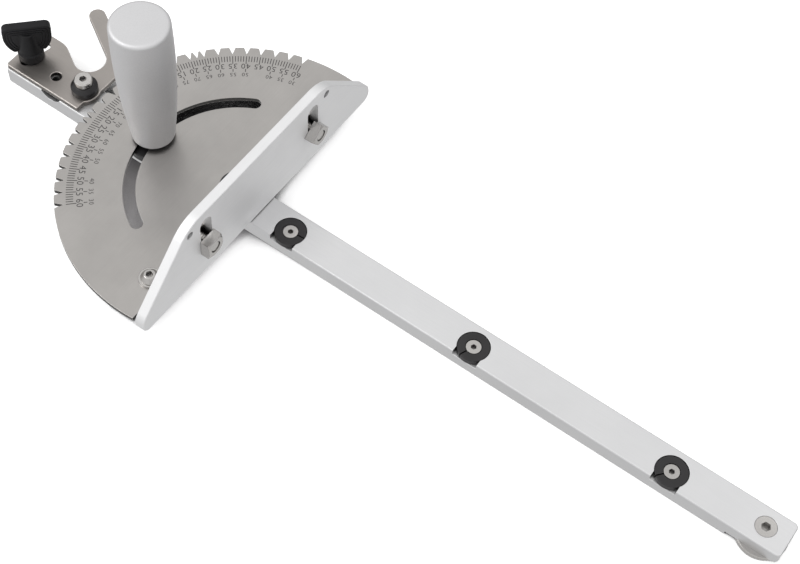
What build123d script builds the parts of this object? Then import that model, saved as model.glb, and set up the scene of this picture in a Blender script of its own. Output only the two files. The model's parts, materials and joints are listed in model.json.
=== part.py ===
from build123d import *
import os
from math import cos, hypot, radians, sin, sqrt, tan

# Table-saw mitre gauge, in millimetres. +X runs along the guide bar to its long front end, +Z is up.
# The origin lies on the head's pivot axis, at the underside of the bar.

os.makedirs("parts", exist_ok=True)

# ---- fits and small gaps ----
RUNNING = 0.05
PLAY = 0.1
FLAT_HEAD_RIM = 0.25
M6_R = 3.0
M5_R = 2.5
M4_R = 2.0
M3_R = 1.5

# ---- guide bar ----
BAR_W = 19.0
BAR_T = 9.5
BAR_REAR = -142.3
BAR_FRONT = 308.5
BAR_CORNER_R = 2.5
BAR_EDGE = 0.4
WASHER_RECESS_X = 282.5
END_SCREW_X = 296.5
END_SCREW_HEAD_R = 5.1
END_SCREW_TOP = 9.4
T_WASHER_R = 12.25
T_WASHER_T = 2.5
RELIEF_R = 7.5
RELIEF_X = -113.3
RELIEF_DEPTH = 3.3
RELIEF_FRONT_X = -107.0
BLIND_HOLE_R = 2.6
BLIND_HOLE_DEPTH = 5.0

# ---- split expansion rings, set towards the bar's near edge ----
RING_X = (34.5, 141.9, 249.3)
RING_SPLIT_DEG = (5.0, -112.0, -129.0)
RING_Y = -1.7
RING_R = 7.9
RING_BOTTOM = 6.4
RING_TOP = 9.4
RING_GAP = 0.7
RING_BORE_R = 4.1
RING_SEAT_TOP = 8.6
POCKET_R = 8.1
POCKET_MOUTH = 6.7
POCKET_FLOOR = 6.3
EXPANSION_HEAD_R = 3.7
EXPANSION_HEAD_TOP = 9.2

# ---- head: levels of the fence flange and the protractor plate ----
FLANGE_BOTTOM = 9.8
PLATE_BOTTOM = 13.6
PLATE_TOP = 15.8
PLATE_R = 88.0
PLATE_FRONT = 8.5
PIVOT_BUSH_R = 5.0
PIVOT_WASHER_R = 8.2
PIVOT_WASHER_T = 1.2
SLOT_R = 52.0
SLOT_HALF_W = 3.15
SLOT_END_DEG = 62.0

# ---- index notches in the plate's rim; zero lies off the bar's line, where the index tooth is ----
ZERO_NOTCH_DEG = 164.76
NOTCH_MARKS = (0, 5, 10, 15, 20, 22.5, 25, 30, 35, 40, 45, 50, 55, 60)
NOTCH_DEPTH = 4.3
NOTCH_HALF_DEG = 20.4
RIM_FILLET = 0.45

# ---- fence bracket, an L section ----
WALL_BACK = 11.0
WALL_FRONT = 16.0
WALL_TOP = 54.5
WALL_HALF = 88.5
WALL_FLAT_HALF = 52.0
WALL_END_TOP = 18.7
WALL_TOP_FILLET = 20.0
WALL_END_FILLET = 8.0
WALL_FOOT_R = 4.5
WALL_EDGE = 0.4
FLANGE_REAR = -12.0
FLANGE_CORNER_R = 11.0
INNER_FILLET = 2.0
FENCE_SLOT_Y = 40.8
FENCE_SLOT_HALF_W = 4.1
FENCE_SLOT_LOW = 25.5
FENCE_SLOT_HIGH = 49.0
FENCE_HOLE_Y = 51.7
FENCE_HOLE_Z = 48.4
FENCE_HOLE_R = 2.1
FLANGE_SCREW_X = 1.0
FLANGE_SCREW_Y = 66.0
FENCE_BOLT_Z = 30.6
BOLT_HEAD_AF = 10.0
NUT_SIDE = 10.0
NUT_T = 5.0
NUT_BEVEL = 0.8
NUT_TURN_DEG = {-1: 0.0, 1: 38.0}

# ---- handle, on a stud that passes through the plate's arc slot ----
HANDLE_X = -SLOT_R
PAD_R = 13.4
PAD_TOP = 13.5
HANDLE_WASHER_R = 9.6
HANDLE_BASE = 17.8
HANDLE_TOP = 98.5
HANDLE_BASE_R = 10.8
HANDLE_MAX_R = 14.9
HANDLE_MAX_Z = 82.0
HANDLE_TOP_R = 14.6
HANDLE_TOP_FILLET = 1.8
STUD_TOP = 60.0

# ---- index lever, flat on the bar's rear end ----
LEVER_BOTTOM = 9.7
LEVER_TOP = 12.2
LEVER_PIVOT = (-100.2, 2.8)
LEVER_BULGE_R = 7.9
LEVER_REAR = -143.0
LEVER_FRONT = -93.2
LEVER_STEP = -95.4
LEVER_NEAR = -8.9
LEVER_EDGE = 0.3
LEVER_FAR = 19.3
LEVER_SLEEVE_R = 5.0
COLLAR_R = 6.85
COLLAR_SHOULDER = 15.6
COLLAR_TOP = 17.4
COLLAR_TOP_R = 5.1
LEVER_SCREW_HEAD_R = 4.65
LEVER_SCREW_HEAD_T = 3.4
LEVER_HOLE = (-117.3, 0.3)
LEVER_HOLE_R = 3.0
FINGER_DEG = 149.0
FINGER_LENGTH = 27.0
FINGER_W = 8.7
THUMB_NOTCH = (-111.5, 19.5)
THUMB_NOTCH_R = 8.4
LOCK_AT = (-136.4, 3.1)
LOCK_SLOT_R = hypot(LOCK_AT[0] - LEVER_PIVOT[0], LOCK_AT[1] - LEVER_PIVOT[1])
LOCK_SLOT_HALF_W = 2.75
LOCK_SLOT_DEG = (165.2, 186.9)

# ---- index tooth: shaped to the zero notch, then parked clear of the rim ----
TOOTH_ENGAGE_DEG = -6.65
TOOTH_DEPTH = 2.2
TOOTH_FLANK_GAP = 0.1
TOOTH_RELIEF = 0.5
TOOTH_HALF_W = 3.4
TOOTH_OUTER_R = 95.4
TOOTH_TOP = 15.6
TOOTH_SCREW_R = 92.3
TOOTH_SCREW_TOP = 15.55

# ---- lock knob ----
LOCK_COLLAR_R = 6.6
LOCK_COLLAR_TOP = 18.2
KNOB_BOSS_R = 6.2
KNOB_BOSS_TOP_R = 4.1
KNOB_BOSS_TOP = 31.0
KNOB_TOP = 36.0
KNOB_HALF_W = 12.2
KNOB_WIDEST_Z = 29.5
KNOB_DROP = 14.2
KNOB_CORNER_R = 3.0
KNOB_WING_T = 4.6
KNOB_WING_DEG = 46.0
KNOB_EDGE_R = 0.5
KNOB_GROOVE_DEPTH = 0.4
KNOB_GROOVE_W = 0.7
KNOB_GROOVE_INSETS = (1.2, 2.6, 4.0)
LOCK_STUD_TOP = 25.0


# ---- small helpers ----
def disc(radius, low, high, x=0.0, y=0.0):
    """An upright cylinder between two heights."""
    return Pos(x, y, (low + high) / 2) * Cylinder(radius, high - low)


def ring(outer, inner, low, high, x=0.0, y=0.0):
    """An upright sleeve between two heights."""
    return disc(outer, low, high, x, y) - disc(inner, low, high, x, y)


def cone(bottom_r, top_r, low, high, x=0.0, y=0.0):
    """An upright cone frustum between two heights."""
    return Pos(x, y, (low + high) / 2) * Cone(bottom_r, top_r, high - low)


def hex_prism(across_flats, low, high, x=0.0, y=0.0):
    """An upright hexagonal prism between two heights."""
    outline = RegularPolygon(across_flats / 2, 6, major_radius=False)
    return Pos(x, y, low) * extrude(outline, high - low)


def lengthwise(solid, x, y, z):
    """Lays an upright shape along +X with its base at the given point."""
    return Pos(x, y, z) * Rot(0, 90, 0) * solid


def rounded_by(outline, points, radius, reach=0.05):
    """Rounds the outline's corners that lie at the given points."""
    corners = [v for v in outline.vertices() if any((Vector(*p) - Vector(v)).length < reach for p in points)]
    return fillet(corners, radius)


def save(solid, name):
    """Writes one sub-part to its own file."""
    export_step(solid, f"parts/{name}.step")


# ---- screws ----
def flat_head(x, y, head_r, shank_r, top, bottom, above):
    """A flat-head shape: shank, 90 degree cone and a rim that starts just under the top face."""
    rim_low = top - FLAT_HEAD_RIM
    cone_low = rim_low - (head_r - shank_r)
    shape = disc(head_r, rim_low, above, x, y)
    shape += cone(shank_r, head_r, cone_low, rim_low, x, y)
    return shape + disc(shank_r, bottom, cone_low, x, y)


def countersunk_screw(x, y, head_r, shank_r, top, bottom, socket):
    """A flat-head screw with a hexagon socket."""
    screw = flat_head(x, y, head_r, shank_r, top, bottom, top)
    return screw - hex_prism(socket, top - 0.55 * head_r, top + 1, x, y)


def countersink(x, y, head_r, shank_r, top, bottom):
    """The void for a flat-head screw, wider than the screw all round by the small play."""
    return flat_head(x, y, head_r + PLAY, shank_r + PLAY, top, bottom, top + 1)


def socket_head(radius, low, high, socket, x=0.0, y=0.0):
    """A cylindrical socket head with a softened top edge."""
    head = disc(radius, low, high, x, y)
    head = chamfer(head.edges().group_by(Axis.Z)[-1], 0.45)
    return head - hex_prism(socket, high - 0.6 * (high - low), high + 1, x, y)


def button_head(radius, low, high, socket, x, y):
    """A button head: short rim, sloping shoulder and a flat top with a hexagon socket."""
    rim_top = low + 0.5
    head = disc(radius, low, rim_top, x, y) + cone(radius, 0.6 * radius, rim_top, high, x, y)
    head = fillet(head.edges().group_by(Axis.Z)[-1], 0.5)
    return head - hex_prism(socket, low + 0.3 * (high - low), high + 1, x, y)


# ---- guide bar and what is fixed to it ----
def ring_pocket(x):
    """A round pocket whose mouth opens through the bar's near side, with the screw hole under it."""
    pocket = disc(POCKET_R, POCKET_FLOOR, BAR_T + 1, x, RING_Y)
    mouth_y = -BAR_W / 2 - 2
    mouth = Box(2 * POCKET_MOUTH, RING_Y - mouth_y, BAR_T + 1 - POCKET_FLOOR)
    mouth = Pos(x, (RING_Y + mouth_y) / 2, (BAR_T + 1 + POCKET_FLOOR) / 2) * mouth
    return pocket + mouth + disc(M4_R + PLAY, -1, POCKET_FLOOR, x, RING_Y)


def lever_relief():
    """A shallow round-bottomed groove across the bar's top, cut off square at its front."""
    axis_z = BAR_T - RELIEF_DEPTH + RELIEF_R
    groove = Pos(RELIEF_X, 0, axis_z) * Rot(90, 0, 0) * Cylinder(RELIEF_R, BAR_W + 2)
    behind = Pos(RELIEF_FRONT_X - 20, 0, BAR_T) * Box(40, BAR_W + 4, 20)
    return groove & behind


def guide_bar():
    length = BAR_FRONT - BAR_REAR
    bar = Pos((BAR_FRONT + BAR_REAR) / 2, 0, BAR_T / 2) * Box(length, BAR_W, BAR_T)
    front_corners = bar.edges().filter_by(Axis.Z).group_by(Axis.X)[-1]
    bar = fillet(front_corners, BAR_CORNER_R)
    long_edges = bar.edges().filter_by(Axis.X).filter_by(lambda e: e.length > length / 2)
    bar = chamfer(long_edges, BAR_EDGE)
    recess_length = BAR_FRONT + 1 - WASHER_RECESS_X
    recess = Box(recess_length, BAR_W + 2, T_WASHER_T + 1)
    bar -= Pos(WASHER_RECESS_X + recess_length / 2, 0, (T_WASHER_T - 1) / 2) * recess
    bar -= countersink(END_SCREW_X, 0, END_SCREW_HEAD_R, M6_R, END_SCREW_TOP, 0)
    for x in RING_X:
        bar -= ring_pocket(x)
    bar -= lever_relief()
    bar -= disc(M6_R + RUNNING, 2, BAR_T + 1)
    bar -= disc(M6_R + RUNNING, 2, BAR_T + 1, HANDLE_X, 0)
    bar -= disc(M4_R + RUNNING, 2, BAR_T + 1, *LEVER_PIVOT)
    bar -= disc(M5_R + RUNNING, 2, BAR_T + 1, *LOCK_AT)
    bar -= disc(BLIND_HOLE_R, BAR_T - RELIEF_DEPTH - BLIND_HOLE_DEPTH, BAR_T, *LEVER_HOLE)
    return bar


def expansion_ring(x, split_deg):
    """A split ring with a tapered seat; driving the screw in spreads it."""
    seat_low = RING_SEAT_TOP - 1.4
    body = disc(RING_R, RING_BOTTOM, RING_TOP, x, RING_Y)
    body = chamfer(body.edges().group_by(Axis.Z)[-1], 0.3)
    body -= disc(RING_BORE_R, RING_SEAT_TOP, RING_TOP + 1, x, RING_Y)
    body -= cone(M4_R + 0.2, M4_R + 1.6, seat_low, RING_SEAT_TOP, x, RING_Y)
    body -= disc(M4_R + 0.2, RING_BOTTOM - 1, seat_low, x, RING_Y)
    cut = Pos(RING_R / 2 + 1, 0, 0) * Box(RING_R + 2, RING_GAP, 20)
    return body - Pos(x, RING_Y, RING_TOP) * Rot(0, 0, split_deg) * cut


def expansion_screw(x):
    return countersunk_screw(x, RING_Y, EXPANSION_HEAD_R, M4_R, EXPANSION_HEAD_TOP, 0.6, 2.5)


def end_screw():
    return countersunk_screw(END_SCREW_X, 0, END_SCREW_HEAD_R, M6_R, END_SCREW_TOP, 0.2, 4.0)


def t_slot_washer():
    """The round flange that rides in the wider foot of a T-shaped slot."""
    washer = ring(T_WASHER_R, M6_R + RUNNING, 0, T_WASHER_T, END_SCREW_X, 0)
    outer = washer.edges().filter_by(GeomType.CIRCLE).filter_by(lambda e: e.radius > T_WASHER_R - 1)
    return chamfer(outer, 0.35)


def pivot_bush():
    return ring(PIVOT_BUSH_R, M6_R + RUNNING, BAR_T, PLATE_TOP + PLAY)


def pivot_washer():
    low = PLATE_TOP + PLAY
    return ring(PIVOT_WASHER_R, M6_R + RUNNING, low, low + PIVOT_WASHER_T)


def pivot_screw():
    low = PLATE_TOP + PLAY + PIVOT_WASHER_T
    return socket_head(5.0, low, low + 3.2, 4.0) + disc(M6_R, 2.5, low)


def clamp_stud():
    """The fixed threaded rod that the handle screws down on."""
    stud = disc(M6_R, 2.5, STUD_TOP, HANDLE_X, 0)
    return chamfer(stud.edges().group_by(Axis.Z)[-1], 0.6)


def slide_pad():
    """The plastic pad under the plate that the handle clamps it against."""
    pad = ring(PAD_R, M6_R + RUNNING, BAR_T, PAD_TOP, HANDLE_X, 0)
    rim = pad.edges().filter_by(GeomType.CIRCLE).filter_by(lambda e: e.radius > PAD_R - 1)
    return chamfer(rim, 0.3)


def lever_bush():
    """Sleeve that the index lever turns on, under a tall collar with a bevelled top."""
    low = LEVER_TOP + PLAY
    bush = disc(LEVER_SLEEVE_R, BAR_T, low, *LEVER_PIVOT)
    bush += disc(COLLAR_R, low, COLLAR_SHOULDER, *LEVER_PIVOT)
    bush += cone(COLLAR_R, COLLAR_TOP_R, COLLAR_SHOULDER, COLLAR_TOP, *LEVER_PIVOT)
    return bush - disc(M4_R + RUNNING, BAR_T - 1, COLLAR_TOP + 1, *LEVER_PIVOT)


def lever_screw():
    top = COLLAR_TOP + LEVER_SCREW_HEAD_T
    head = socket_head(LEVER_SCREW_HEAD_R, COLLAR_TOP, top, 3.4, *LEVER_PIVOT)
    return head + disc(M4_R, 2.5, COLLAR_TOP, *LEVER_PIVOT)


def lock_stud():
    return disc(M5_R, 2.5, LOCK_STUD_TOP, *LOCK_AT)


# ---- head ----
def notch_angles():
    """All notch positions round the rim, both ways from zero."""
    both = {mark for mark in NOTCH_MARKS} | {-mark for mark in NOTCH_MARKS}
    return [ZERO_NOTCH_DEG + mark for mark in sorted(both)]


def notch(angle_deg):
    """One V cut, from its root to a little past the rim."""
    past = 2.0
    half_mouth = (NOTCH_DEPTH + past) * tan(radians(NOTCH_HALF_DEG))
    root = (PLATE_R - NOTCH_DEPTH, 0)
    upper = (PLATE_R + past, half_mouth)
    lower = (PLATE_R + past, -half_mouth)
    return Rot(0, 0, angle_deg) * Polygon(root, upper, lower, align=None)


def protractor_plate():
    """Round plate with an indexed rim, an arc slot for the stud and a straight front edge."""
    outline = Circle(PLATE_R)
    cut_off = PLATE_R - PLATE_FRONT
    outline -= Pos(PLATE_FRONT + cut_off / 2 + 1, 0) * Rectangle(cut_off + 2, 2 * PLATE_R + 2)
    for angle in notch_angles():
        outline -= notch(angle)
    tips = [v for v in outline.vertices() if v.X < PLATE_FRONT - 1 and Vector(v).length > PLATE_R - 0.1]
    outline = fillet(tips, RIM_FILLET)
    slot_arc = CenterArc((0, 0), SLOT_R, 180 - SLOT_END_DEG, 2 * SLOT_END_DEG)
    outline -= SlotArc(slot_arc, 2 * SLOT_HALF_W)
    outline -= Circle(PIVOT_BUSH_R + RUNNING)
    plate = Pos(0, 0, PLATE_BOTTOM) * extrude(outline, PLATE_TOP - PLATE_BOTTOM)
    for side in (-1, 1):
        plate -= disc(M5_R + PLAY, PLATE_BOTTOM - 1, PLATE_TOP + 1, FLANGE_SCREW_X, side * FLANGE_SCREW_Y)
    return plate


def fence_wall():
    """The upright face, seen from the front: flat top, sloped shoulders, slots and small holes."""
    shoulders = [(WALL_FLAT_HALF, WALL_TOP), (-WALL_FLAT_HALF, WALL_TOP)]
    ends = [(WALL_HALF, WALL_END_TOP), (-WALL_HALF, WALL_END_TOP)]
    feet = [(-WALL_HALF, FLANGE_BOTTOM), (WALL_HALF, FLANGE_BOTTOM)]
    outline = Polygon(*feet, ends[0], *shoulders, ends[1], align=None)
    outline = rounded_by(outline, shoulders, WALL_TOP_FILLET)
    outline = rounded_by(outline, ends, WALL_END_FILLET)
    outline = rounded_by(outline, feet, WALL_FOOT_R)
    slot_height = FENCE_SLOT_HIGH - FENCE_SLOT_LOW
    slot_z = (FENCE_SLOT_HIGH + FENCE_SLOT_LOW) / 2
    for side in (-1, 1):
        slot = SlotOverall(slot_height, 2 * FENCE_SLOT_HALF_W, rotation=90)
        outline -= Pos(side * FENCE_SLOT_Y, slot_z) * slot
        outline -= Pos(side * FENCE_HOLE_Y, FENCE_HOLE_Z) * Circle(FENCE_HOLE_R)
    facing_front = Plane(origin=(WALL_BACK, 0, 0), x_dir=(0, 1, 0), z_dir=(1, 0, 0))
    wall = extrude(facing_front * outline, WALL_FRONT - WALL_BACK)
    by_depth = wall.faces().sort_by(Axis.X)
    for face in (by_depth[0], by_depth[-1]):
        wall = chamfer(face.outer_wire().edges(), WALL_EDGE)
    return wall


def fence_flange():
    """The horizontal leg under the plate, with rounded rear corners and rounded lower ends."""
    front = WALL_BACK + 1
    depth = front - FLANGE_REAR
    outline = Pos((front + FLANGE_REAR) / 2, 0) * Rectangle(depth, 2 * WALL_HALF)
    rear = [(FLANGE_REAR, -WALL_HALF, 0), (FLANGE_REAR, WALL_HALF, 0)]
    outline = rounded_by(outline, rear, FLANGE_CORNER_R)
    leg = Pos(0, 0, FLANGE_BOTTOM) * extrude(outline, PLATE_BOTTOM - FLANGE_BOTTOM)
    end_radius = Box(depth, 2 * WALL_HALF, 4 * WALL_FOOT_R)
    end_radius = fillet(end_radius.edges().filter_by(Axis.X), WALL_FOOT_R)
    return leg & Pos((front + FLANGE_REAR) / 2, 0, FLANGE_BOTTOM + 2 * WALL_FOOT_R) * end_radius


def fence_bracket():
    bracket = fence_wall() + fence_flange()
    corner_x = WALL_BACK - INNER_FILLET / 2
    corner_z = PLATE_BOTTOM + INNER_FILLET / 2
    web = Pos(corner_x, 0, corner_z) * Box(INNER_FILLET, 2 * (WALL_HALF - WALL_FOOT_R), INNER_FILLET)
    hollow = Pos(WALL_BACK - INNER_FILLET, 0, PLATE_BOTTOM + INNER_FILLET)
    web -= hollow * Rot(90, 0, 0) * Cylinder(INNER_FILLET, 2 * WALL_HALF)
    bracket += web
    bracket -= disc(PIVOT_BUSH_R + RUNNING, FLANGE_BOTTOM - 1, PLATE_BOTTOM + 1)
    for side in (-1, 1):
        at = (FLANGE_SCREW_X, side * FLANGE_SCREW_Y)
        bracket -= disc(M5_R + RUNNING, FLANGE_BOTTOM - 1, PLATE_BOTTOM + 1, *at)
    return bracket


def flange_washer(side):
    return ring(5.6, M5_R + PLAY, PLATE_TOP, PLATE_TOP + 1.0, FLANGE_SCREW_X, side * FLANGE_SCREW_Y)


def flange_screw(side):
    low = PLATE_TOP + 1.0
    at = (FLANGE_SCREW_X, side * FLANGE_SCREW_Y)
    return button_head(4.5, low, low + 2.9, 3.2, *at) + disc(M5_R, FLANGE_BOTTOM, low, *at)


# ---- auxiliary-fence bolts, which slide in the wall's slots ----
def fence_washer(side):
    washer = ring(6.0, M6_R + PLAY, 0, 1.0)
    return lengthwise(washer, WALL_BACK - PLAY - 1.0, side * FENCE_SLOT_Y, FENCE_BOLT_Z)


def fence_bolt(side):
    """Hexagon bolt with its head behind the wall."""
    head_t = 4.0
    head_x = WALL_BACK - PLAY - 1.0 - head_t
    shank = disc(M6_R, head_t, WALL_FRONT + PLAY + NUT_T - 0.4 - head_x)
    shank = chamfer(shank.edges().group_by(Axis.Z)[-1], 0.6)
    bolt = hex_prism(BOLT_HEAD_AF, 0, head_t) + shank
    return lengthwise(bolt, head_x, side * FENCE_SLOT_Y, FENCE_BOLT_Z)


def fence_nut(side):
    """Square nut whose corners are turned off on the front face."""
    nut = Pos(0, 0, NUT_T / 2) * Box(NUT_SIDE, NUT_SIDE, NUT_T) - disc(M6_R + RUNNING, -1, NUT_T + 1)
    point_r = NUT_SIDE / sqrt(2)
    front_r = NUT_SIDE / 2 + 0.3
    turned_off = disc(point_r, 0, NUT_T - NUT_BEVEL)
    turned_off += cone(point_r, front_r, NUT_T - NUT_BEVEL, NUT_T)
    nut = Rot(0, 0, NUT_TURN_DEG[side]) * (nut & turned_off)
    return lengthwise(nut, WALL_FRONT + PLAY, side * FENCE_SLOT_Y, FENCE_BOLT_Z)


# ---- handle ----
def handle():
    """Turned grip: narrow at its base, widest near the top, with a rounded top edge."""
    base = (HANDLE_BASE_R - 0.5, HANDLE_BASE)
    base_edge = (HANDLE_BASE_R, HANDLE_BASE + 0.6)
    widest = (HANDLE_MAX_R, HANDLE_MAX_Z)
    rim = (HANDLE_TOP_R, HANDLE_TOP)
    profile = [
        Line((0, HANDLE_BASE), base),
        Line(base, base_edge),
        TangentArc(widest, base_edge, tangent=(0, -1)),
        TangentArc(widest, rim, tangent=(0, 1)),
        Line(rim, (0, HANDLE_TOP)),
        Line((0, HANDLE_TOP), (0, HANDLE_BASE)),
    ]
    section = make_face(Plane.XZ * Wire.combine(profile)[0])
    grip = revolve(section, Axis.Z)
    grip = fillet(grip.edges().filter_by(GeomType.CIRCLE).group_by(Axis.Z)[-1], HANDLE_TOP_FILLET)
    grip -= disc(M6_R + RUNNING, HANDLE_BASE - 1, STUD_TOP + 2)
    return Pos(HANDLE_X, 0, 0) * grip


def handle_washer():
    washer = ring(HANDLE_WASHER_R, M6_R + PLAY, PLATE_TOP + PLAY, HANDLE_BASE, HANDLE_X, 0)
    rim = washer.edges().filter_by(GeomType.CIRCLE).filter_by(lambda e: e.radius > HANDLE_WASHER_R - 1)
    return chamfer(rim, 0.3)


# ---- index lever ----
def index_place():
    """Carries a shape drawn along the zero notch's radius to the lever's parked position."""
    back = Pos(-LEVER_PIVOT[0], -LEVER_PIVOT[1])
    parked = Pos(*LEVER_PIVOT) * Rot(0, 0, -TOOTH_ENGAGE_DEG) * back
    return parked * Rot(0, 0, ZERO_NOTCH_DEG)


def along_finger(forward, sideways):
    """A point measured from the thumb notch's centre, along the finger's direction and across it."""
    angle = radians(FINGER_DEG)
    x = THUMB_NOTCH[0] + forward * cos(angle) + sideways * sin(angle)
    y = THUMB_NOTCH[1] + forward * sin(angle) - sideways * cos(angle)
    return (x, y)


def lever_outline():
    """Square rear end on the bar, thumb finger beside an open notch, and an arm that carries the tooth."""
    finger_near = THUMB_NOTCH_R
    finger_far = THUMB_NOTCH_R + FINGER_W
    hump = (-127.4, LEVER_FAR)
    outline = Polygon(
        (LEVER_REAR, LEVER_NEAR),
        (LEVER_STEP, LEVER_NEAR),
        (LEVER_STEP, LEVER_PIVOT[1]),
        (LEVER_FRONT, LEVER_PIVOT[1]),
        (LEVER_FRONT, 21.5),
        along_finger(-19.0, finger_far),
        along_finger(FINGER_LENGTH, finger_far),
        along_finger(FINGER_LENGTH, finger_near),
        THUMB_NOTCH,
        hump,
        (LEVER_REAR, LEVER_FAR),
        align=None,
    )
    tip = along_finger(FINGER_LENGTH, (finger_near + finger_far) / 2)
    outline += Pos(*tip) * Circle(FINGER_W / 2)
    outline += Pos(*LEVER_PIVOT) * Circle(LEVER_BULGE_R)
    arm = Polygon((84.8, -4.3), (98.0, -4.3), (98.0, 4.3), (84.8, 4.3), align=None)
    outline += index_place() * arm
    open_notch = Pos(FINGER_LENGTH, 0) * Rectangle(2 * FINGER_LENGTH, 2 * THUMB_NOTCH_R)
    open_notch += Circle(THUMB_NOTCH_R)
    outline -= Pos(*THUMB_NOTCH) * Rot(0, 0, FINGER_DEG) * open_notch
    outline = rounded_by(outline, [(LEVER_REAR, LEVER_NEAR), (LEVER_REAR, LEVER_FAR)], 1.5)
    outline = rounded_by(outline, [(LEVER_STEP, LEVER_NEAR)], 0.6)
    outline = rounded_by(outline, [hump], 13.0, 1.5)
    bulge_drop = sqrt(LEVER_BULGE_R ** 2 - (LEVER_STEP - LEVER_PIVOT[0]) ** 2)
    bulge_low = (LEVER_STEP, LEVER_PIVOT[1] - bulge_drop)
    return rounded_by(outline, [bulge_low], 2.5, 0.5)


def index_lever():
    """Sheet-metal lever, slotted for the lock stud round its own pivot."""
    outline = lever_outline()
    outline -= Pos(*LEVER_PIVOT) * Circle(LEVER_SLEEVE_R + RUNNING)
    outline -= Pos(*LEVER_HOLE) * Circle(LEVER_HOLE_R)
    low, high = LOCK_SLOT_DEG
    slot_arc = CenterArc(LEVER_PIVOT, LOCK_SLOT_R, low, high - low)
    outline -= SlotArc(slot_arc, 2 * LOCK_SLOT_HALF_W)
    outline -= index_place() * Pos(TOOTH_SCREW_R, 0) * Circle(M3_R + RUNNING)
    lever = Pos(0, 0, LEVER_BOTTOM) * extrude(outline, LEVER_TOP - LEVER_BOTTOM)
    return chamfer(lever.faces().sort_by(Axis.Z)[-1].outer_wire().edges(), LEVER_EDGE)


def index_tooth():
    """Block with a V nose that fits a rim notch; one flank is relieved for the lever's swing."""
    root_r = PLATE_R - NOTCH_DEPTH
    slope = tan(radians(NOTCH_HALF_DEG))
    nose_r = PLATE_R - TOOTH_DEPTH
    shoulder_r = PLATE_R + 0.6
    nose_half = (nose_r - root_r) * slope - TOOTH_FLANK_GAP
    shoulder_half = (shoulder_r - root_r) * slope - TOOTH_FLANK_GAP
    block = Polygon(
        (nose_r, nose_half),
        (nose_r, TOOTH_RELIEF - nose_half),
        (shoulder_r, TOOTH_RELIEF - shoulder_half),
        (shoulder_r, -TOOTH_HALF_W),
        (TOOTH_OUTER_R, -TOOTH_HALF_W),
        (TOOTH_OUTER_R, TOOTH_HALF_W),
        (shoulder_r, TOOTH_HALF_W),
        (shoulder_r, shoulder_half),
        align=None,
    )
    block = Pos(0, 0, LEVER_TOP) * extrude(block, TOOTH_TOP - LEVER_TOP)
    block -= countersink(TOOTH_SCREW_R, 0, 2.7, M3_R, TOOTH_SCREW_TOP, LEVER_TOP - 1)
    return index_place() * block


def tooth_screw():
    screw = countersunk_screw(TOOTH_SCREW_R, 0, 2.7, M3_R, TOOTH_SCREW_TOP, LEVER_BOTTOM, 2.0)
    return index_place() * screw


# ---- lock knob ----
def lock_collar():
    low = LEVER_TOP + PLAY
    collar = ring(LOCK_COLLAR_R, M5_R + PLAY, low, LOCK_COLLAR_TOP, *LOCK_AT)
    rim = collar.edges().filter_by(GeomType.CIRCLE).filter_by(lambda e: e.radius > LOCK_COLLAR_R - 1)
    return chamfer(rim, 0.4)


def knob_outline(inset):
    """The wing seen face on: flat top with round corners, elliptic below, cut off at the boss's foot."""
    half = KNOB_HALF_W - inset
    top = KNOB_TOP - inset
    upper_height = top - KNOB_WIDEST_Z
    outline = Pos(0, KNOB_WIDEST_Z) * Ellipse(half, KNOB_DROP - inset)
    outline -= Pos(0, KNOB_WIDEST_Z + KNOB_TOP / 2) * Rectangle(3 * half, KNOB_TOP)
    outline += Pos(0, KNOB_WIDEST_Z + upper_height / 2) * Rectangle(2 * half, upper_height)
    outline -= Pos(0, LOCK_COLLAR_TOP + 0.8 - KNOB_TOP / 2) * Rectangle(3 * half, KNOB_TOP)
    return rounded_by(outline, [(-half, top), (half, top)], KNOB_CORNER_R - inset / 2)


def lock_knob():
    """A D-shaped wing with grooves that follow its outline, standing on a tapered boss."""
    wing = extrude(Plane.XZ * knob_outline(0), KNOB_WING_T / 2, both=True)
    foot_z = LOCK_COLLAR_TOP + 1.0
    rims = wing.edges().filter_by(Plane.XZ).filter_by(lambda e: e.center().Z > foot_z)
    wing = fillet(rims, KNOB_EDGE_R)
    for inset in KNOB_GROOVE_INSETS:
        loop = knob_outline(inset) - knob_outline(inset + KNOB_GROOVE_W)
        for side in (-1, 1):
            face = Plane.XZ.offset(side * KNOB_WING_T / 2)
            wing -= extrude(face * loop, KNOB_GROOVE_DEPTH, both=True)
    boss = cone(KNOB_BOSS_R, KNOB_BOSS_TOP_R, LOCK_COLLAR_TOP, KNOB_BOSS_TOP)
    boss = fillet(boss.edges().group_by(Axis.Z)[-1], 0.8)
    knob = wing + boss - disc(M5_R + RUNNING, LOCK_COLLAR_TOP - 1, LOCK_STUD_TOP + 1)
    return Pos(*LOCK_AT) * Rot(0, 0, KNOB_WING_DEG) * knob


# ---- write every sub-part ----
save(guide_bar(), "miter_bar")
for number, (ring_x, split_deg) in enumerate(zip(RING_X, RING_SPLIT_DEG), start=1):
    save(expansion_ring(ring_x, split_deg), f"expansion_ring_{number}")
    save(expansion_screw(ring_x), f"expansion_screw_{number}")
save(end_screw(), "end_screw")
save(t_slot_washer(), "t_slot_washer")
save(pivot_bush(), "pivot_bush")
save(pivot_washer(), "pivot_washer")
save(pivot_screw(), "pivot_screw")
save(clamp_stud(), "clamp_stud")
save(slide_pad(), "slide_pad")
save(lever_bush(), "lever_bush")
save(lever_screw(), "lever_screw")
save(lock_stud(), "lock_stud")
save(protractor_plate(), "protractor_plate")
save(fence_bracket(), "fence_bracket")
for side, side_name in ((-1, "left"), (1, "right")):
    save(flange_washer(side), f"flange_washer_{side_name}")
    save(flange_screw(side), f"flange_screw_{side_name}")
    save(fence_bolt(side), f"fence_bolt_{side_name}")
    save(fence_nut(side), f"fence_nut_{side_name}")
    save(fence_washer(side), f"fence_washer_{side_name}")
save(handle(), "handle")
save(handle_washer(), "handle_washer")
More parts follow.
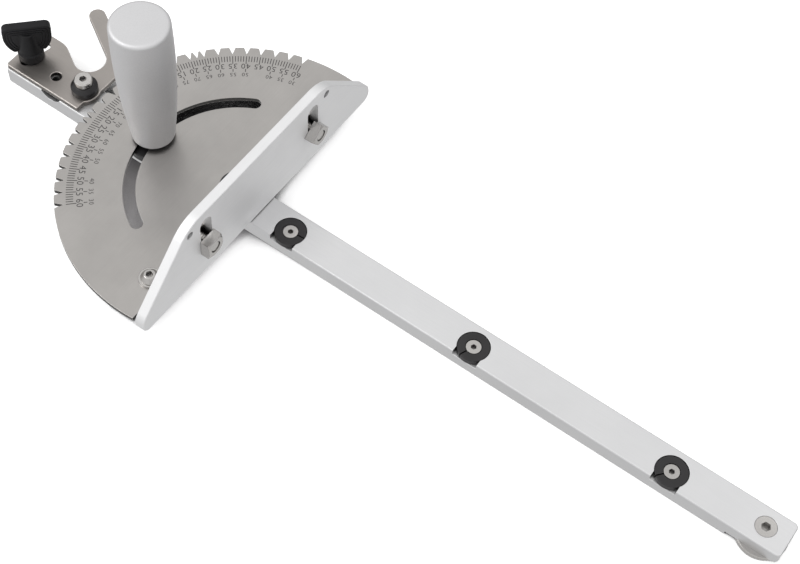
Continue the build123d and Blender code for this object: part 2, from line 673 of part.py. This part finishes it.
save(index_lever(), "index_lever")
save(index_tooth(), "index_tooth")
save(tooth_screw(), "tooth_screw")
save(lock_collar(), "lock_collar")
save(lock_knob(), "lock_knob")
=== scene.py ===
"""Looks for a table-saw mitre gauge: finer pieces, materials, engraved scale, floor, light and camera.

Metres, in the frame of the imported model: +X along the guide bar to its front end, +Z up.
"""
import json
import math

import bmesh
import bpy
from mathutils import Matrix, Vector

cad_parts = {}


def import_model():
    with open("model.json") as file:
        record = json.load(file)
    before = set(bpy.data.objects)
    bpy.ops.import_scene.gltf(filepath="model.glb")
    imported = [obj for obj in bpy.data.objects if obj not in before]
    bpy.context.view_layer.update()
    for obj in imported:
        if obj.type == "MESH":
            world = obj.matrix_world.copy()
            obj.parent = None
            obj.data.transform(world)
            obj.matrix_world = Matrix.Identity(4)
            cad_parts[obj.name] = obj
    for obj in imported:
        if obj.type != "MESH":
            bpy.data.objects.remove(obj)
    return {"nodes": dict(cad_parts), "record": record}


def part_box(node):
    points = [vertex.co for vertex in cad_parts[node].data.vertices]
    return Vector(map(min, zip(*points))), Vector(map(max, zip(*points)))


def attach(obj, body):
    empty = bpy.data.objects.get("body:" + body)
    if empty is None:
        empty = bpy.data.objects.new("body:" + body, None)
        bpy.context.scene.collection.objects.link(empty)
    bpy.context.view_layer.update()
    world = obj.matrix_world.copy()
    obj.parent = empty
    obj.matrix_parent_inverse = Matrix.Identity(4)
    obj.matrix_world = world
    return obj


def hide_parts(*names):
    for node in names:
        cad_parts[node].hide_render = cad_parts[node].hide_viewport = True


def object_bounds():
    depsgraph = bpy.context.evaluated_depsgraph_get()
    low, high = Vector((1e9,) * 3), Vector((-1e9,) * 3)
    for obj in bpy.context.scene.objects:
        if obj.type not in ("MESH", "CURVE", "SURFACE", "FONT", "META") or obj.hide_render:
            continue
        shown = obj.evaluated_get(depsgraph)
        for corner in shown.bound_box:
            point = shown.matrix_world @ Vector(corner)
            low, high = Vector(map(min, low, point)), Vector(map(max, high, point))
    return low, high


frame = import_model()
CAD_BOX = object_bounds()
NODES = frame["nodes"]

MM = 0.001


# ---------------------------------------------------------------- mesh helpers
def shown(name, mesh, body, material, smooth_deg=35.0):
    """Links a mesh as a piece that rides on a body."""
    piece = bpy.data.objects.new(name, mesh)
    bpy.context.scene.collection.objects.link(piece)
    mesh.materials.append(material)
    soften(piece, smooth_deg)
    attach(piece, body)
    return piece


def soften(piece, limit_deg):
    """Smooth shading, kept sharp across edges that turn by more than the limit."""
    mesh = piece.data
    mesh.shade_smooth()
    mesh.set_sharp_from_angle(angle=math.radians(limit_deg))


def mesh_from_bmesh(name, bm):
    bmesh.ops.recalc_face_normals(bm, faces=bm.faces)
    mesh = bpy.data.meshes.new(name)
    bm.to_mesh(mesh)
    bm.free()
    return mesh


def add_slab(bm, outline, low, high):
    """A closed prism on a flat outline of (x, y) points."""
    bottom = [bm.verts.new((x, y, low)) for x, y in outline]
    top = [bm.verts.new((x, y, high)) for x, y in outline]
    bm.faces.new(top)
    bm.faces.new(list(reversed(bottom)))
    count = len(outline)
    for i in range(count):
        j = (i + 1) % count
        bm.faces.new((bottom[i], bottom[j], top[j], top[i]))


# ---------------------------------------------------------------- node helpers
BEVEL_SAMPLES = 6
METAL_RELIEF = 0.05 * MM
PLASTIC_RELIEF = 0.04 * MM


class Tree:
    """A short way to build one material's nodes."""

    def __init__(self, name):
        self.material = bpy.data.materials.new(name)
        self.material.use_nodes = True
        self.tree = self.material.node_tree
        self.shader = self.tree.nodes["Principled BSDF"]

    def add(self, kind, **settings):
        node = self.tree.nodes.new(kind)
        for key, value in settings.items():
            setattr(node, key, value)
        return node

    def link(self, source, target):
        self.tree.links.new(source, target)

    def noise(self, stretch, scale, detail=4.0, roughness=0.55):
        """Noise in the object's own metres, stretched by a factor on each axis."""
        place = self.add("ShaderNodeTexCoord")
        mapping = self.add("ShaderNodeMapping")
        mapping.inputs["Scale"].default_value = stretch
        self.link(place.outputs["Object"], mapping.inputs["Vector"])
        noise = self.add("ShaderNodeTexNoise")
        noise.inputs["Scale"].default_value = scale
        noise.inputs["Detail"].default_value = detail
        noise.inputs["Roughness"].default_value = roughness
        self.link(mapping.outputs["Vector"], noise.inputs["Vector"])
        return noise.outputs["Fac"]

    def remap(self, value, low, high, start=0.3, end=0.7):
        """Spreads the middle of a 0 to 1 value over a new range."""
        node = self.add("ShaderNodeMapRange")
        node.inputs["From Min"].default_value = start
        node.inputs["From Max"].default_value = end
        node.inputs["To Min"].default_value = low
        node.inputs["To Max"].default_value = high
        self.link(value, node.inputs["Value"])
        return node.outputs["Result"]

    def mix_colour(self, factor, dark, light):
        node = self.add("ShaderNodeMix", data_type="RGBA")
        self.link(factor, node.inputs["Factor"])
        for socket, colour in (("A", dark), ("B", light)):
            colours = [s for s in node.inputs if s.name == socket and s.type == "RGBA"]
            if isinstance(colour, bpy.types.NodeSocket):
                self.link(colour, colours[0])
            else:
                colours[0].default_value = (*colour, 1.0)
        return [s for s in node.outputs if s.type == "RGBA"][0]

    def edge_mask(self, radius):
        """One near an edge and zero on open faces."""
        bevel = self.add("ShaderNodeBevel", samples=BEVEL_SAMPLES)
        bevel.inputs["Radius"].default_value = radius
        geometry = self.add("ShaderNodeNewGeometry")
        dot = self.add("ShaderNodeVectorMath", operation="DOT_PRODUCT")
        self.link(bevel.outputs["Normal"], dot.inputs[0])
        self.link(geometry.outputs["True Normal"], dot.inputs[1])
        return self.remap(dot.outputs["Value"], 1.0, 0.0, 0.90, 0.995)

    def crevice_mask(self, reach):
        """One deep in a gap or corner, where shade is painted, and zero in the open."""
        hidden = self.add("ShaderNodeAmbientOcclusion", samples=8)
        hidden.inputs["Distance"].default_value = reach
        return self.remap(hidden.outputs["AO"], 1.0, 0.0, 0.12, 0.50)

    def upright_mask(self):
        """One on upright faces and zero on level ones."""
        geometry = self.add("ShaderNodeNewGeometry")
        split = self.add("ShaderNodeSeparateXYZ")
        self.link(geometry.outputs["True Normal"], split.inputs["Vector"])
        level = self.add("ShaderNodeMath", operation="ABSOLUTE")
        self.link(split.outputs["Z"], level.inputs[0])
        return self.remap(level.outputs["Value"], 1.0, 0.0, 0.25, 0.5)

    def relief(self, height, strength, distance, edge_radius):
        """Bump from a height, over edges that are rounded in the shading."""
        bump = self.add("ShaderNodeBump")
        bump.inputs["Strength"].default_value = strength
        bump.inputs["Distance"].default_value = distance
        self.link(height, bump.inputs["Height"])
        bevel = self.add("ShaderNodeBevel", samples=BEVEL_SAMPLES)
        bevel.inputs["Radius"].default_value = edge_radius
        self.link(bevel.outputs["Normal"], bump.inputs["Normal"])
        self.link(bump.outputs["Normal"], self.shader.inputs["Normal"])


def shade(colour, factor):
    return tuple(min(1.0, c * factor) for c in colour)


def metal(name, colour, roughness, grain, spread=0.05, mottle=28.0, edge=0.35 * MM,
          edge_highlight_shade=1.12, bump=0.12, cut_wall_shade=1.0, crevice_shade_factor=0.10, reach=9.0 * MM):
    """Bare metal: stretched grain, cloudy tone, rims painted lighter as a highlight above a factor of one
    and darker as shade below it, and painted shade on upright cut walls and in crevices.
    """
    t = Tree(name)
    fine = t.noise(grain, 1.0, 5.0, 0.65)
    slow = t.noise((1.0, 1.0, 1.0), mottle, 3.0)
    tone = t.mix_colour(t.remap(slow, 0.0, 1.0), shade(colour, 1 - spread), shade(colour, 1 + spread))
    tone = t.mix_colour(t.remap(fine, 0.0, 0.35), tone, shade(colour, 1 - 2 * spread))
    # Painted shade: upright cut walls, such as notch and slot walls, darkened toward this factor.
    if cut_wall_shade < 1.0:
        tone = t.mix_colour(t.upright_mask(), tone, shade(colour, cut_wall_shade))
    # Painted highlight on rims where the edge factor is above one, painted shade where it is below one.
    tone = t.mix_colour(t.edge_mask(edge), tone, shade(colour, edge_highlight_shade))
    # Painted shade: gaps and corners darkened from ambient occlusion.
    tone = t.mix_colour(t.crevice_mask(reach), tone, shade(colour, crevice_shade_factor))
    t.link(tone, t.shader.inputs["Base Color"])
    t.link(t.remap(fine, roughness - 0.05, roughness + 0.07), t.shader.inputs["Roughness"])
    t.shader.inputs["Metallic"].default_value = 1.0
    t.relief(fine, bump, METAL_RELIEF, edge)
    return t.material


def plastic(name, colour, roughness, grain=2600.0, bump=0.2, edge=0.3 * MM, specular=0.5):
    """Dark moulded plastic: a faint pebble, with a painted highlight on its edges."""
    t = Tree(name)
    pebble = t.noise((1.0, 1.0, 1.0), grain, 3.0)
    slow = t.noise((1.0, 1.0, 1.0), 90.0, 2.0)
    tone = t.mix_colour(t.remap(slow, 0.0, 1.0), shade(colour, 0.75), shade(colour, 1.3))
    # Painted highlight: edges 2.6 times lighter than the plastic.
    rim_highlight = t.mix_colour(t.edge_mask(edge), tone, shade(colour, 2.6))
    t.link(rim_highlight, t.shader.inputs["Base Color"])
    t.link(t.remap(slow, roughness - 0.07, roughness + 0.08), t.shader.inputs["Roughness"])
    t.shader.inputs["Specular IOR Level"].default_value = specular
    t.relief(pebble, bump, PLASTIC_RELIEF, edge)
    return t.material


# ---------------------------------------------------------------- materials
ALONG_X = (60.0, 2400.0, 2400.0)
ALONG_Y = (2400.0, 60.0, 2400.0)
ALL_WAYS = (1500.0, 1500.0, 1500.0)

# The rim, wall and crevice factors below paint light and shade into the colours: the lever's 2.3 rim is a
# painted highlight, the steel's 0.45 rim a painted shade.
BAR_METAL = metal("bar_aluminium", (0.67, 0.67, 0.675), 0.42, ALONG_X, spread=0.03)
FENCE_METAL = metal("fence_aluminium", (0.80, 0.80, 0.805), 0.58, ALONG_Y, spread=0.03)
HANDLE_METAL = metal("handle_aluminium", (0.65, 0.648, 0.655), 0.58, ALL_WAYS, spread=0.03, bump=0.2)
PLATE_METAL = metal("plate_stainless", (0.41, 0.395, 0.38), 0.34, ALONG_Y, spread=0.06,
                    mottle=45.0, cut_wall_shade=0.14, edge_highlight_shade=1.25)
LEVER_METAL = metal("lever_stainless", (0.36, 0.335, 0.315), 0.36, ALONG_X, spread=0.06,
                    mottle=60.0, edge=0.5 * MM, edge_highlight_shade=2.3, cut_wall_shade=0.5)
STEEL = metal("fastener_steel", (0.49, 0.475, 0.46), 0.22, ALL_WAYS, spread=0.14,
              edge=0.28 * MM, edge_highlight_shade=0.45, crevice_shade_factor=0.10, reach=4.0 * MM)
BLACK_STEEL = plastic("black_oxide", (0.03, 0.03, 0.032), 0.42, bump=0.08, specular=0.35)
BLACK_PLASTIC = plastic("black_plastic", (0.012, 0.011, 0.012), 0.40, specular=0.42)
KNOB_PLASTIC = plastic("knob_plastic", (0.009, 0.009, 0.010), 0.42, specular=0.18)
INK = plastic("scale_ink", (0.045, 0.043, 0.042), 0.6, bump=0.05)

BY_SLOT = {
    "aluminium_bar": BAR_METAL,
    "aluminium_fence": FENCE_METAL,
    "aluminium_handle": HANDLE_METAL,
    "stainless_plate": PLATE_METAL,
    "stainless_lever": LEVER_METAL,
    "steel_fastener": STEEL,
    "black_steel": BLACK_STEEL,
    "black_plastic": BLACK_PLASTIC,
    "knob_plastic": KNOB_PLASTIC,
}

for row in frame["record"]["subparts"]:
    NODES[row["node"]].material_slots[0].material = BY_SLOT[row["material_slot"]]


# ---------------------------------------------------------------- threaded fence bolts
THREAD_PITCH = 1.0 * MM
THREAD_DEPTH = 0.42 * MM
THREAD_SIDES = 40
THREAD_STEPS = 6
BOLT_R = 3.0 * MM
BOLT_HEAD_T = 4.0 * MM
BOLT_HEAD_BEVEL = 0.5 * MM
BOLT_END_TAPER = 0.6 * MM


def thread_radius(outer, x, angle):
    """The radius of a single-start V thread at a place along the bolt."""
    phase = (x / THREAD_PITCH - angle / math.tau) % 1.0
    return outer - THREAD_DEPTH * abs(2.0 * phase - 1.0)


def add_tube(bm, rows):
    """Joins rings of points into one closed skin, with a flat cap at each end."""
    rings = [[bm.verts.new(p) for p in row] for row in rows]
    count = len(rings[0])
    for near, far in zip(rings, rings[1:]):
        for i in range(count):
            j = (i + 1) % count
            bm.faces.new((near[i], near[j], far[j], far[i]))
    bm.faces.new(list(reversed(rings[0])))
    bm.faces.new(rings[-1])


def round_row(x, y, z, radii):
    """One ring of points round an axis that runs along +X."""
    count = len(radii)
    row = []
    for i, radius in enumerate(radii):
        angle = math.tau * i / count
        row.append((x, y + radius * math.cos(angle), z + radius * math.sin(angle)))
    return row


def thread_rows(start, end, y, z):
    """Rings of points along the thread, with a short taper at the far end."""
    core = BOLT_R - THREAD_DEPTH
    angles = [math.tau * i / THREAD_SIDES for i in range(THREAD_SIDES)]
    steps = int((end - start) / THREAD_PITCH * THREAD_STEPS)
    rows = []
    for k in range(steps + 1):
        x = start + (end - start) * k / steps
        limit = core + max(0.0, end - x) / BOLT_END_TAPER * THREAD_DEPTH
        radii = [min(limit, thread_radius(BOLT_R, x, angle)) for angle in angles]
        rows.append(round_row(x, y, z, radii))
    return rows


def hexagon_row(x, y, z, corner):
    """One hexagon round an axis that runs along +X, with a corner on top."""
    turns = [math.tau * i / 6 for i in range(6)]
    return [(x, y + corner * math.sin(turn), z + corner * math.cos(turn)) for turn in turns]


def fence_bolt(side):
    """The bolt with its real thread, seen through the bracket's slot, and a hexagon head behind."""
    node = "fence_bolt_" + side
    low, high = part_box(node)
    y, z = (low.y + high.y) / 2, (low.z + high.z) / 2
    bm = bmesh.new()
    add_tube(bm, thread_rows(low.x + BOLT_HEAD_T / 2, high.x, y, z))
    corner = (high.z - low.z) / 2
    flat = corner * math.cos(math.radians(30))
    head = [(low.x, flat), (low.x + BOLT_HEAD_BEVEL, corner), (low.x + BOLT_HEAD_T, corner)]
    add_tube(bm, [hexagon_row(x, y, z, radius) for x, radius in head])
    piece = shown("threaded_bolt_" + side, mesh_from_bmesh(node, bm), node, STEEL)
    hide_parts(node)


for side in ("left", "right"):
    fence_bolt(side)


# ---------------------------------------------------------------- engraved scale
ZERO_DEG = 164.76
SCALE_LIMIT = 60
TICK_OUTER = 82.3 * MM
TICK_INNER = 78.7 * MM
FIVE_INNER = 77.2 * MM
LEADER_OUTER = 73.8 * MM
LEADER_INNER = 72.0 * MM
TICK_WIDTH = 0.42 * MM
BIG_RADIUS = 75.9 * MM
SMALL_RADIUS = 70.3 * MM
BIG_HEIGHT = 3.3 * MM
SMALL_HEIGHT = 2.3 * MM
INK_DEPTH = 0.02 * MM
CAPITAL_TO_SIZE = 0.7
LETTER_SPACING = 1.12
UNNUMBERED_SMALL = 45
PLATE_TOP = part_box("protractor_plate")[1].z


def scale_place(mark_deg):
    """Turns a shape drawn along +X to a mark's radius; +Y becomes the way the angle grows."""
    return Matrix.Rotation(math.radians(ZERO_DEG + mark_deg), 4, "Z")


def add_tick(bm, mark_deg, inner, outer, width):
    """One radial line."""
    turn = scale_place(mark_deg)
    corners = [(inner, -width / 2), (outer, -width / 2), (outer, width / 2), (inner, width / 2)]
    points = [turn @ Vector((x, y, 0.0)) for x, y in corners]
    add_slab(bm, [(p.x, p.y) for p in points], PLATE_TOP - INK_DEPTH, PLATE_TOP + INK_DEPTH)


def scale_ticks():
    bm = bmesh.new()
    for mark in range(-SCALE_LIMIT, SCALE_LIMIT + 1):
        inner = FIVE_INNER if mark % 5 == 0 else TICK_INNER
        add_tick(bm, mark, inner, TICK_OUTER, TICK_WIDTH)
        if mark % 5 == 0 and abs(mark) != UNNUMBERED_SMALL:
            add_tick(bm, mark, LEADER_INNER, LEADER_OUTER, TICK_WIDTH)
    mesh = mesh_from_bmesh("scale_ticks", bm)
    return shown("scale_ticks", mesh, "head", INK)


def add_number(bm, number, mark_deg, radius, height):
    """A number whose tops point at the pivot, cut as a thin solid."""
    text = bpy.data.curves.new("number", "FONT")
    text.body = str(number)
    text.align_x = "CENTER"
    text.align_y = "CENTER"
    text.size = height / CAPITAL_TO_SIZE
    text.space_character = LETTER_SPACING
    text.extrude = INK_DEPTH
    text.resolution_u = 3
    holder = bpy.data.objects.new("number", text)
    bpy.context.scene.collection.objects.link(holder)
    graph = bpy.context.evaluated_depsgraph_get()
    mesh = bpy.data.meshes.new_from_object(holder.evaluated_get(graph))
    tops_inward = Matrix.Rotation(math.radians(90), 4, "Z")
    out = Matrix.Translation((radius, 0.0, PLATE_TOP))
    mesh.transform(scale_place(mark_deg) @ out @ tops_inward)
    bm.from_mesh(mesh)
    bpy.data.objects.remove(holder)
    bpy.data.curves.remove(text)
    bpy.data.meshes.remove(mesh)


def scale_numbers():
    bm = bmesh.new()
    for mark in range(-SCALE_LIMIT, SCALE_LIMIT + 1, 5):
        add_number(bm, abs(mark), mark, BIG_RADIUS, BIG_HEIGHT)
        if abs(mark) != UNNUMBERED_SMALL:
            add_number(bm, 90 - abs(mark), mark, SMALL_RADIUS, SMALL_HEIGHT)
    bmesh.ops.remove_doubles(bm, verts=bm.verts, dist=1e-7)
    mesh = mesh_from_bmesh("scale_numbers", bm)
    return shown("scale_numbers", mesh, "head", INK)


scale_ticks()
scale_numbers()


# ---------------------------------------------------------------- floor, light and camera
FLOOR_HALF = 30.0
FLOOR_DROP = 0.1 * MM
SHADOW_REACH = 40 * MM
SHADOW_NEAR = (0.50, 0.485, 0.50)
SHADOW_FAR = (0.012, 0.012, 0.013)
CAMERA_AT = (0.3048, -0.3440, 0.6570)
CAMERA_FORWARD = (-0.27548, 0.45768, -0.84536)
CAMERA_UP = (-0.50995, 0.67588, 0.53211)
CAMERA_LENS = 72.19


def floor():
    """A wide pale sheet under the part, with painted shade where the part closes it off, deepest on the far
    side.
    """
    size = FLOOR_HALF
    mesh = bpy.data.meshes.new("floor")
    corners = [(-size, -size, 0.0), (size, -size, 0.0), (size, size, 0.0), (-size, size, 0.0)]
    mesh.from_pydata(corners, [], [(0, 1, 2, 3)])
    sheet = bpy.data.objects.new("floor", mesh)
    bpy.context.scene.collection.objects.link(sheet)
    t = Tree("floor_paper")
    t.shader.inputs["Roughness"].default_value = 0.9
    t.shader.inputs["Specular IOR Level"].default_value = 0.1
    slow = t.noise((1.0, 1.0, 1.0), 3.0, 2.0)
    paper = t.mix_colour(slow, (0.96, 0.96, 0.96), (0.98, 0.98, 0.98))
    hidden = t.add("ShaderNodeAmbientOcclusion", samples=24)
    hidden.inputs["Distance"].default_value = SHADOW_REACH
    shadow = t.remap(hidden.outputs["AO"], 1.0, 0.0, 0.25, 0.40)
    place = t.add("ShaderNodeTexCoord")
    split = t.add("ShaderNodeSeparateXYZ")
    t.link(place.outputs["Object"], split.inputs["Vector"])
    # Painted shade by position: nearly black on the far side, mid-grey on the near side.
    far_side = t.remap(split.outputs["Y"], 0.0, 1.0, -20 * MM, 5 * MM)
    deep = t.mix_colour(far_side, SHADOW_NEAR, SHADOW_FAR)
    t.link(t.mix_colour(shadow, paper, deep), t.shader.inputs["Base Color"])
    # The floor glows white outside the painted shade.
    lift = t.mix_colour(shadow, (1.0, 1.0, 1.0), (0.0, 0.0, 0.0))
    t.link(lift, t.shader.inputs["Emission Color"])
    t.shader.inputs["Emission Strength"].default_value = 0.3
    mesh.materials.append(t.material)
    sheet.location.z = CAD_BOX[0].z - FLOOR_DROP
    sheet.visible_glossy = False


def world():
    """White above, greyer below, and dim along the far horizon, so little light comes in under the plate."""
    studio = bpy.data.worlds.new("studio")
    bpy.context.scene.world = studio
    studio.use_nodes = True
    tree = studio.node_tree
    place = tree.nodes.new("ShaderNodeTexCoord")
    split = tree.nodes.new("ShaderNodeSeparateXYZ")
    tree.links.new(place.outputs["Generated"], split.inputs["Vector"])

    def spread(value, start, end, low, high):
        node = tree.nodes.new("ShaderNodeMapRange")
        for name, number in zip(("From Min", "From Max", "To Min", "To Max"), (start, end, low, high)):
            node.inputs[name].default_value = number
        tree.links.new(value, node.inputs["Value"])
        return node.outputs["Result"]

    def calculate(operation, first, second=None):
        node = tree.nodes.new("ShaderNodeMath")
        node.operation = operation
        tree.links.new(first, node.inputs[0])
        if second:
            tree.links.new(second, node.inputs[1])
        return node.outputs["Value"]

    height = spread(split.outputs["Z"], -0.6, 0.8, 0.74, 1.05)
    level = spread(calculate("ABSOLUTE", split.outputs["Z"]), 0.08, 0.42, 1.0, 0.0)
    far = spread(split.outputs["Y"], -0.30, 0.20, 0.0, 0.65)
    dim = spread(calculate("MULTIPLY", level, far), 0.0, 1.0, 1.0, 0.0)
    tree.links.new(calculate("MULTIPLY", height, dim), tree.nodes["Background"].inputs["Strength"])
    tree.nodes["Background"].inputs["Color"].default_value = (1.0, 1.0, 1.0, 1.0)


def soft_light(name, at, aim, size, power):
    light = bpy.data.lights.new(name, "AREA")
    light.shape = "SQUARE"
    light.size = size
    light.energy = power
    holder = bpy.data.objects.new(name, light)
    holder.location = at
    holder.rotation_mode = "QUATERNION"
    holder.rotation_quaternion = (Vector(aim) - Vector(at)).to_track_quat("-Z", "Y")
    bpy.context.scene.collection.objects.link(holder)


def camera():
    """Long lens, high in front of the bar and to its near side."""
    forward = Vector(CAMERA_FORWARD).normalized()
    right = forward.cross(Vector(CAMERA_UP)).normalized()
    up = right.cross(forward)
    view = bpy.data.cameras.new("camera")
    view.lens = CAMERA_LENS
    view.sensor_width = 36.0
    view.clip_start = 0.01
    view.clip_end = 100.0
    holder = bpy.data.objects.new("camera", view)
    turn = Matrix((right, up, -forward)).transposed().to_4x4()
    holder.matrix_world = Matrix.Translation(CAMERA_AT) @ turn
    bpy.context.scene.collection.objects.link(holder)
    bpy.context.scene.camera = holder


floor()
world()
soft_light("key", (-0.9, -0.7, 1.3), (0.0, 0.0, 0.0), 0.9, 9.0)
soft_light("fill", (0.9, 0.2, 1.0), (0.1, 0.0, 0.0), 1.0, 1.0)
camera()
bpy.context.scene.view_settings.view_transform = "Standard"
